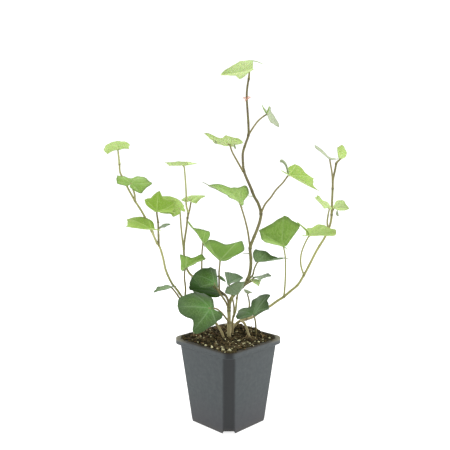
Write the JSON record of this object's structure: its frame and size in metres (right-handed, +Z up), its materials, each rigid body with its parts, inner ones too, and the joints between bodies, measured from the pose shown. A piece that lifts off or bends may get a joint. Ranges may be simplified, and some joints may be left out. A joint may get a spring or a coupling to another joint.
{
  "type": "potted atlantic ivy",
  "caption": "Young trailing ivy with lobed leaves on slim curving stems, growing in a square tapered nursery pot filled with soil.",
  "frame": {"origin": "middle of the pot's underside, on the surface that it stands on", "axes": "+Z up along the pot; -Y towards the side the plant is seen from, where a corner of the pot points; +X to the viewer's right"},
  "size_m": [0.2715, 0.1206, 0.3984],
  "materials": {
    "pot": "satin moulded grey plastic, dusty at the foot and soil-marked at the rim",
    "soil": "dark brown potting soil with bark, fibre and pale crumbs",
    "stem": "grey-brown to tan young ivy stem with darker nodes",
    "leaf_lime": "soft young leaf, light yellow-green, thin enough to glow",
    "leaf_mid": "grown leaf, fresh mid green with pale veins",
    "leaf_dark": "older leaf, dark green with pale radiating veins and a waxy sheen",
    "leaf_glaucous": "blue-green leaf with a pale waxy bloom"
  },
  "bodies": {
    "root": {"pot": "pot", "soil": "soil", "stem_main": "stem", "stem_left_outer": "stem", "stem_left_inner": "stem", "stem_right": "stem", "stem_short": "stem", "leaf_main_1": "leaf_dark", "leaf_main_2": "leaf_dark", "leaf_main_3": "leaf_dark", "leaf_main_4": "leaf_mid", "leaf_main_5": "leaf_glaucous", "leaf_main_6": "leaf_dark", "leaf_main_7": "leaf_mid", "leaf_main_8": "leaf_lime", "leaf_main_9": "leaf_lime", "leaf_main_10": "leaf_lime", "leaf_main_11": "leaf_lime", "leaf_inner_1": "leaf_mid", "leaf_inner_2": "leaf_mid", "leaf_inner_3": "leaf_lime", "leaf_inner_4": "leaf_lime", "leaf_inner_5": "leaf_lime", "leaf_outer_1": "leaf_dark", "leaf_outer_2": "leaf_mid", "leaf_outer_3": "leaf_mid", "leaf_outer_4": "leaf_glaucous", "leaf_outer_5": "leaf_lime", "leaf_outer_6": "leaf_mid", "leaf_outer_7": "leaf_lime", "leaf_right_1": "leaf_mid", "leaf_right_2": "leaf_mid", "leaf_right_3": "leaf_lime", "leaf_right_4": "leaf_lime", "leaf_right_5": "leaf_lime", "leaf_right_6": "leaf_lime", "leaf_right_7": "leaf_lime", "leaf_short_1": "leaf_glaucous", "leaf_short_2": "leaf_glaucous", "leaf_rooted": "leaf_dark"}
  },
  "joints": []
}
